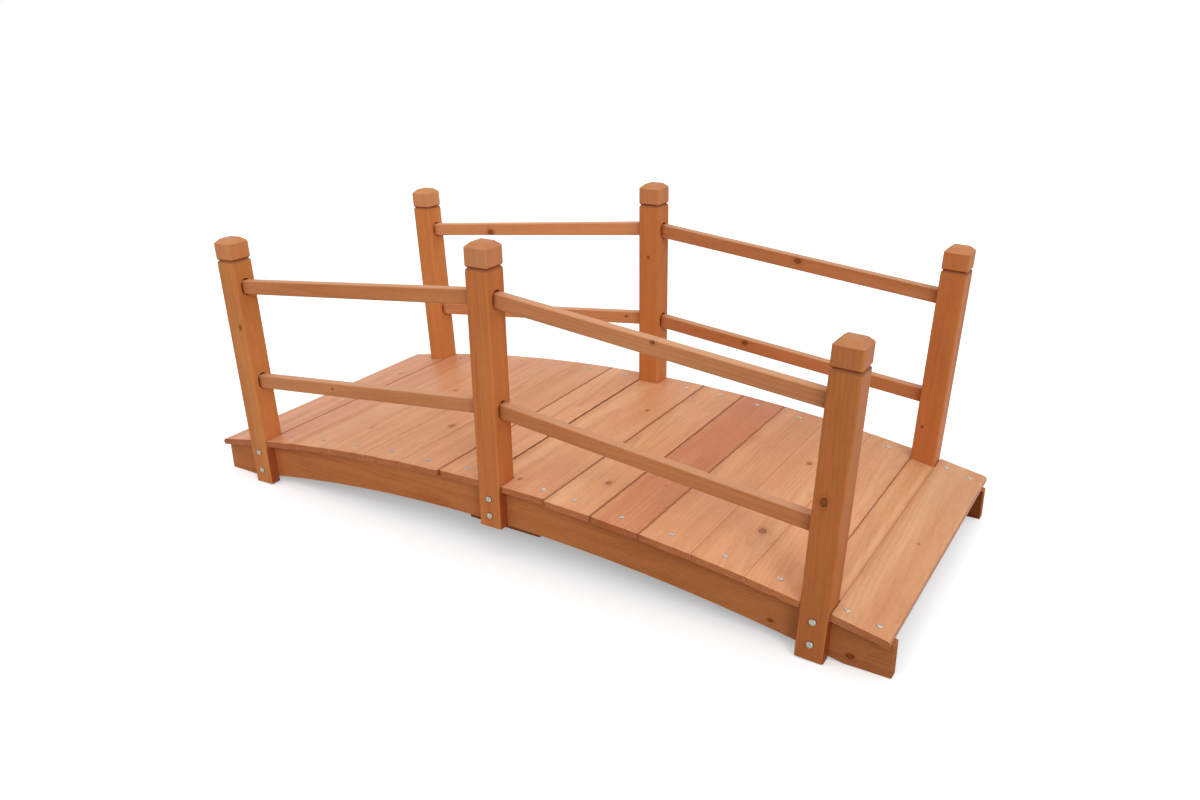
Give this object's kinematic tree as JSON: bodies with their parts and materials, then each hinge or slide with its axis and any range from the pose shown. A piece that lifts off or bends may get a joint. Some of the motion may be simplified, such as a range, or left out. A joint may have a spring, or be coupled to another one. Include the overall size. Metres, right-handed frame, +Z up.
{
  "type": "arched garden bridge",
  "caption": "Arched wooden garden bridge with curved stringers, a plank deck, capped posts and straight rails tenoned between them.",
  "frame": {"origin": "on the ground, under the middle of the deck", "axes": "+X along the bridge towards the end with the infill board, +Y across the bridge, +Z up"},
  "size_m": [1.389, 0.602, 0.5581],
  "materials": {
    "post_wood": "satin",
    "rail_wood": "satin",
    "stringer_wood": "satin",
    "deck_wood": "satin",
    "zinc": "satin"
  },
  "bodies": {
    "root": {"near_left_post": "post_wood", "near_middle_post": "post_wood", "near_right_post": "post_wood", "far_left_post": "post_wood", "far_middle_post": "post_wood", "far_right_post": "post_wood", "near_left_upper_rail": "rail_wood", "near_left_lower_rail": "rail_wood", "near_right_upper_rail": "rail_wood", "near_right_lower_rail": "rail_wood", "far_left_upper_rail": "rail_wood", "far_left_lower_rail": "rail_wood", "far_right_upper_rail": "rail_wood", "far_right_lower_rail": "rail_wood", "near_left_stringer": "stringer_wood", "near_right_stringer": "stringer_wood", "far_left_stringer": "stringer_wood", "far_right_stringer": "stringer_wood", "near_splice_plate": "stringer_wood", "far_splice_plate": "stringer_wood", "left_end_board": "deck_wood", "deck_board_1": "deck_wood", "deck_board_2": "deck_wood", "deck_board_3": "deck_wood", "deck_board_4": "deck_wood", "deck_board_5": "deck_wood", "deck_board_6": "deck_wood", "crown_board": "deck_wood", "deck_board_7": "deck_wood", "deck_board_8": "deck_wood", "deck_board_9": "deck_wood", "deck_board_10": "deck_wood", "deck_board_11": "deck_wood", "infill_board": "deck_wood", "right_end_board": "deck_wood"}
  },
  "joints": []
}
